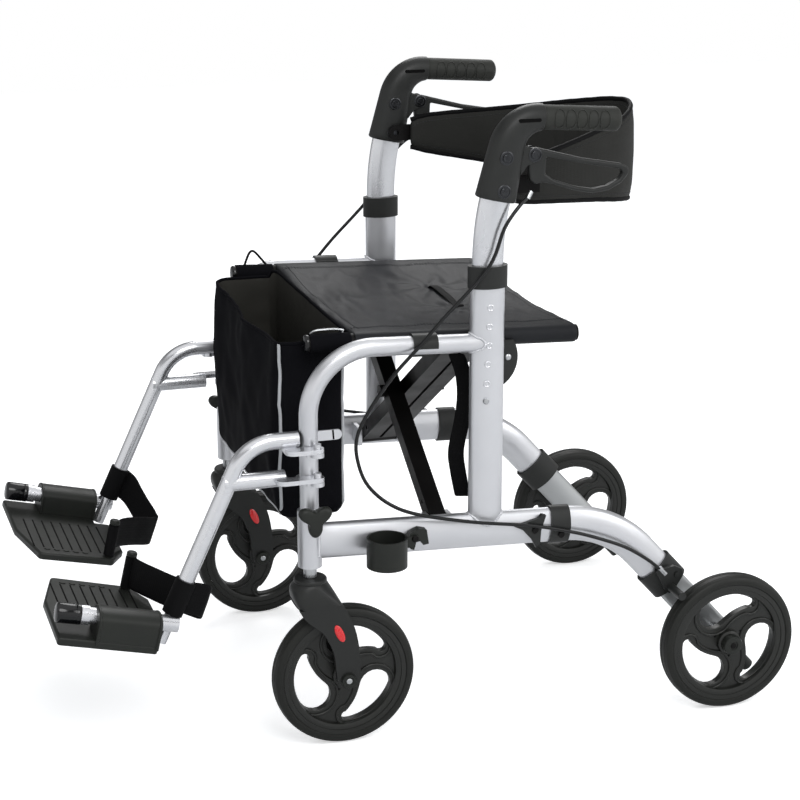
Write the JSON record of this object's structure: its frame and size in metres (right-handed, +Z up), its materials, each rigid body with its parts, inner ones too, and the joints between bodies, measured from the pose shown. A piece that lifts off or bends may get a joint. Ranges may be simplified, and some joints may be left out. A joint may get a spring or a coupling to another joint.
{
  "type": "rollator transport chair",
  "caption": "Folding walking frame on wheels with a sling seat, a bag, loop brakes, a swept backrest and swing-away footrests that turn it into a transport chair",
  "frame": {"origin": "on the floor under the middle of the length and the width", "axes": "+Z up, +X to the user's left side when seated facing the footrests at -Y, +Y to the rear"},
  "size_m": [0.6446, 1.0473, 0.872],
  "materials": {
    "satin_aluminium": "satin anodised",
    "grey_aluminium": "satin grey",
    "bright_steel": "bright plated",
    "black_steel": "satin black",
    "charcoal_plastic": "moulded, fine grain",
    "black_plastic": "moulded",
    "wheel_plastic": "moulded",
    "tyre_rubber": "soft, fine tread",
    "grip_rubber": "soft ribbed",
    "black_cloth": "coated woven",
    "cable_sheath": "smooth"
  },
  "bodies": {
    "left_frame": {"side_rail_left": "satin_aluminium", "post_left": "satin_aluminium", "arm_left": "satin_aluminium", "rear_leg_left": "grey_aluminium", "frame_fittings_left": "charcoal_plastic", "stem_bearing_left": "bright_steel", "rear_axle_left": "bright_steel", "seat_saddle_left": "charcoal_plastic", "brake_cable_left": "cable_sheath", "cane_holder": "black_plastic"},
    "right_frame": {"side_rail_right": "satin_aluminium", "post_right": "satin_aluminium", "arm_right": "satin_aluminium", "rear_leg_right": "grey_aluminium", "frame_fittings_right": "charcoal_plastic", "stem_bearing_right": "bright_steel", "rear_axle_right": "bright_steel", "seat_saddle_right": "charcoal_plastic", "brake_cable_right": "cable_sheath"},
    "front_brace": {"brace_a": "black_steel", "seat": "black_cloth"},
    "bag_hang": {"bag": "black_cloth"},
    "rear_brace": {"brace_b": "black_steel"},
    "caster_left": {"caster_fork_left": "charcoal_plastic", "caster_bolts_left": "bright_steel"},
    "caster_wheel_left": {"caster_rim_left": "wheel_plastic", "caster_tyre_left": "tyre_rubber"},
    "rear_wheel_left": {"rear_rim_left": "wheel_plastic", "rear_tyre_left": "tyre_rubber"},
    "brake_shoe_left": {"brake_arm_left": "charcoal_plastic"},
    "post_knob_left": {"clamp_knob_left": "black_plastic"},
    "grip_post_left": {"handle_tube_left": "satin_aluminium", "handle_left": "charcoal_plastic", "grip_left": "grip_rubber"},
    "lever_left": {"brake_lever_left": "charcoal_plastic"},
    "back_left": {"backrest_bracket_left": "black_steel", "backrest": "black_cloth"},
    "footrest_left": {"hanger_left": "bright_steel", "foot_bar_left": "bright_steel", "heel_loop_left": "black_cloth"},
    "plate_left": {"footplate_left": "black_plastic"},
    "caster_right": {"caster_fork_right": "charcoal_plastic", "caster_bolts_right": "bright_steel"},
    "caster_wheel_right": {"caster_rim_right": "wheel_plastic", "caster_tyre_right": "tyre_rubber"},
    "rear_wheel_right": {"rear_rim_right": "wheel_plastic", "rear_tyre_right": "tyre_rubber"},
    "brake_shoe_right": {"brake_arm_right": "charcoal_plastic"},
    "post_knob_right": {"clamp_knob_right": "black_plastic"},
    "grip_post_right": {"handle_tube_right": "satin_aluminium", "handle_right": "charcoal_plastic", "grip_right": "grip_rubber"},
    "lever_right": {"brake_lever_right": "charcoal_plastic"},
    "back_right": {"backrest_bracket_right": "black_steel"},
    "footrest_right": {"hanger_right": "bright_steel", "foot_bar_right": "bright_steel", "heel_loop_right": "black_cloth"},
    "plate_right": {"footplate_right": "black_plastic"}
  },
  "joints": [
    {"name": "fold", "type": "hinge", "parent": "left_frame", "child": "front_brace", "pos_m": [0.212, 0.01594, 0.29], "axis": [0, 1, 0], "range_deg": [0, 17], "deforming": ["seat", "bag", "backrest"]},
    {"name": "brace_cross", "type": "hinge", "parent": "front_brace", "child": "rear_brace", "pos_m": [0, 0.03694, 0.42275], "axis": [0, 1, 0], "range_deg": [-34, 0]},
    {"name": "fold_right", "type": "hinge", "parent": "rear_brace", "child": "right_frame", "pos_m": [-0.212, 0.05694, 0.29], "axis": [0, 1, 0], "range_deg": [0, 17]},
    {"name": "bag_rise", "type": "slide", "parent": "left_frame", "child": "bag_hang", "axis": [0, 0, 1], "range_m": [0, 0.11236]},
    {"name": "caster_swivel_left", "type": "hinge", "parent": "left_frame", "child": "caster_left", "pos_m": [0.245, -0.17606, 0.24], "axis": [0, 0, 1], "continuous": true},
    {"name": "caster_spin_left", "type": "hinge", "parent": "caster_left", "child": "caster_wheel_left", "pos_m": [0.245, -0.13106, 0.1], "axis": [1, 0, 0], "continuous": true},
    {"name": "rear_spin_left", "type": "hinge", "parent": "left_frame", "child": "rear_wheel_left", "pos_m": [0.298, 0.42194, 0.1], "axis": [1, 0, 0], "continuous": true},
    {"name": "knob_turn_left", "type": "hinge", "parent": "left_frame", "child": "post_knob_left", "pos_m": [0.273, -0.17606, 0.338], "axis": [1, 0, 0], "continuous": true},
    {"name": "handle_height_left", "type": "slide", "parent": "left_frame", "child": "grip_post_left", "axis": [0, 0, 1], "range_m": [0, 0.125], "deforming": ["brake_cable_left"]},
    {"name": "brake_squeeze_left", "type": "hinge", "parent": "grip_post_left", "child": "lever_left", "pos_m": [0.245, 0.13353, 0.80554], "axis": [1, 0, 0], "range_deg": [0, 12], "stiffness_Nm_per_rad": 3, "deforming": ["brake_cable_left"]},
    {"name": "brake_press_left", "type": "hinge", "parent": "left_frame", "child": "brake_shoe_left", "pos_m": [0.265, 0.35413, 0.19773], "axis": [1, 0, 0], "range_deg": [0, 7]},
    {"name": "back_flip_left", "type": "hinge", "parent": "grip_post_left", "child": "back_left", "pos_m": [0.223, 0.09095, 0.76125], "axis": [1, 0, 0], "range_deg": [0, 170]},
    {"name": "footrest_swing_left", "type": "hinge", "parent": "left_frame", "child": "footrest_left", "pos_m": [0.267, -0.17006, 0.395], "axis": [0, 0, 1], "range_deg": [0, 90]},
    {"name": "plate_flip_left", "type": "hinge", "parent": "footrest_left", "child": "plate_left", "pos_m": [0.253, -0.37136, 0.20545], "axis": [0, 0.9744, -0.225], "range_deg": [0, 85], "deforming": ["heel_loop_left"]},
    {"name": "caster_swivel_right", "type": "hinge", "parent": "right_frame", "child": "caster_right", "pos_m": [-0.245, -0.17606, 0.24], "axis": [0, 0, 1], "continuous": true},
    {"name": "caster_spin_right", "type": "hinge", "parent": "caster_right", "child": "caster_wheel_right", "pos_m": [-0.245, -0.13106, 0.1], "axis": [1, 0, 0], "continuous": true},
    {"name": "rear_spin_right", "type": "hinge", "parent": "right_frame", "child": "rear_wheel_right", "pos_m": [-0.298, 0.42194, 0.1], "axis": [1, 0, 0], "continuous": true},
    {"name": "knob_turn_right", "type": "hinge", "parent": "right_frame", "child": "post_knob_right", "pos_m": [-0.273, -0.17606, 0.338], "axis": [-1, 0, 0], "continuous": true},
    {"name": "handle_height_right", "type": "slide", "parent": "right_frame", "child": "grip_post_right", "axis": [0, 0, 1], "range_m": [0, 0.125], "deforming": ["brake_cable_right"]},
    {"name": "brake_squeeze_right", "type": "hinge", "parent": "grip_post_right", "child": "lever_right", "pos_m": [-0.245, 0.13353, 0.80554], "axis": [1, 0, 0], "range_deg": [0, 12], "stiffness_Nm_per_rad": 3, "deforming": ["brake_cable_right"]},
    {"name": "brake_press_right", "type": "hinge", "parent": "right_frame", "child": "brake_shoe_right", "pos_m": [-0.265, 0.35413, 0.19773], "axis": [1, 0, 0], "range_deg": [0, 7]},
    {"name": "back_flip_right", "type": "hinge", "parent": "grip_post_right", "child": "back_right", "pos_m": [-0.223, 0.09095, 0.76125], "axis": [1, 0, 0], "range_deg": [0, 170]},
    {"name": "footrest_swing_right", "type": "hinge", "parent": "right_frame", "child": "footrest_right", "pos_m": [-0.267, -0.17006, 0.395], "axis": [0, 0, -1], "range_deg": [0, 90]},
    {"name": "plate_flip_right", "type": "hinge", "parent": "footrest_right", "child": "plate_right", "pos_m": [-0.253, -0.37136, 0.20545], "axis": [0, -0.9744, 0.225], "range_deg": [0, 85], "deforming": ["heel_loop_right"]}
  ],
  "couplings": [
    {"joint": "bag_rise", "follows": "fold", "m_per_rad": 0.37871},
    {"joint": "brace_cross", "follows": "fold", "ratio": -2},
    {"joint": "fold_right", "follows": "fold", "ratio": 1},
    {"joint": "brake_press_left", "follows": "brake_squeeze_left", "ratio": 0.58333},
    {"joint": "brake_press_right", "follows": "brake_squeeze_right", "ratio": 0.58333},
    {"joint": "handle_height_right", "follows": "handle_height_left", "ratio": 1},
    {"joint": "back_flip_right", "follows": "back_flip_left", "ratio": 1}
  ]
}
